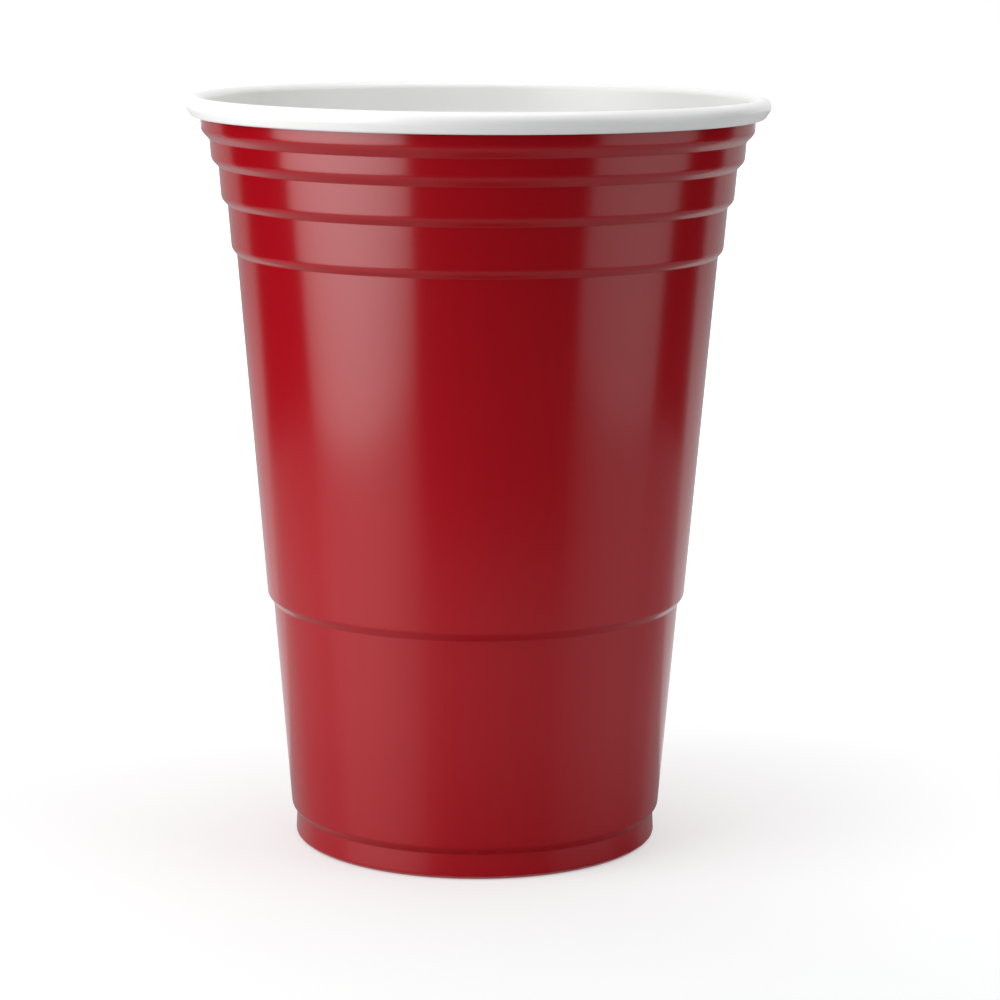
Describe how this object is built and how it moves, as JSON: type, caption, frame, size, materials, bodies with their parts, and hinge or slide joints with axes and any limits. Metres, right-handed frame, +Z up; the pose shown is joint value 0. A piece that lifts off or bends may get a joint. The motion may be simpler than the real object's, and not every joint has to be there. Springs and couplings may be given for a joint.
{
  "type": "plastic party cup",
  "caption": "Tapered drawn plastic drinking cup, red outside and white inside, with a rolled rim, grip steps under it, a body step and a recessed base.",
  "frame": {"origin": "on the cup's axis, in the plane that it stands on", "axes": "+Z up along the cup's axis, from the foot to the rim; X and Y are alike, as the cup is round"},
  "size_m": [0.093, 0.093, 0.1206],
  "materials": {
    "red_polystyrene": "smooth satin gloss, red outer layer of the sheet",
    "white_polystyrene": "smooth gloss, white inner layer of the sheet, which also covers the rolled rim"
  },
  "bodies": {
    "root": {"cup": "red_polystyrene"}
  },
  "joints": []
}
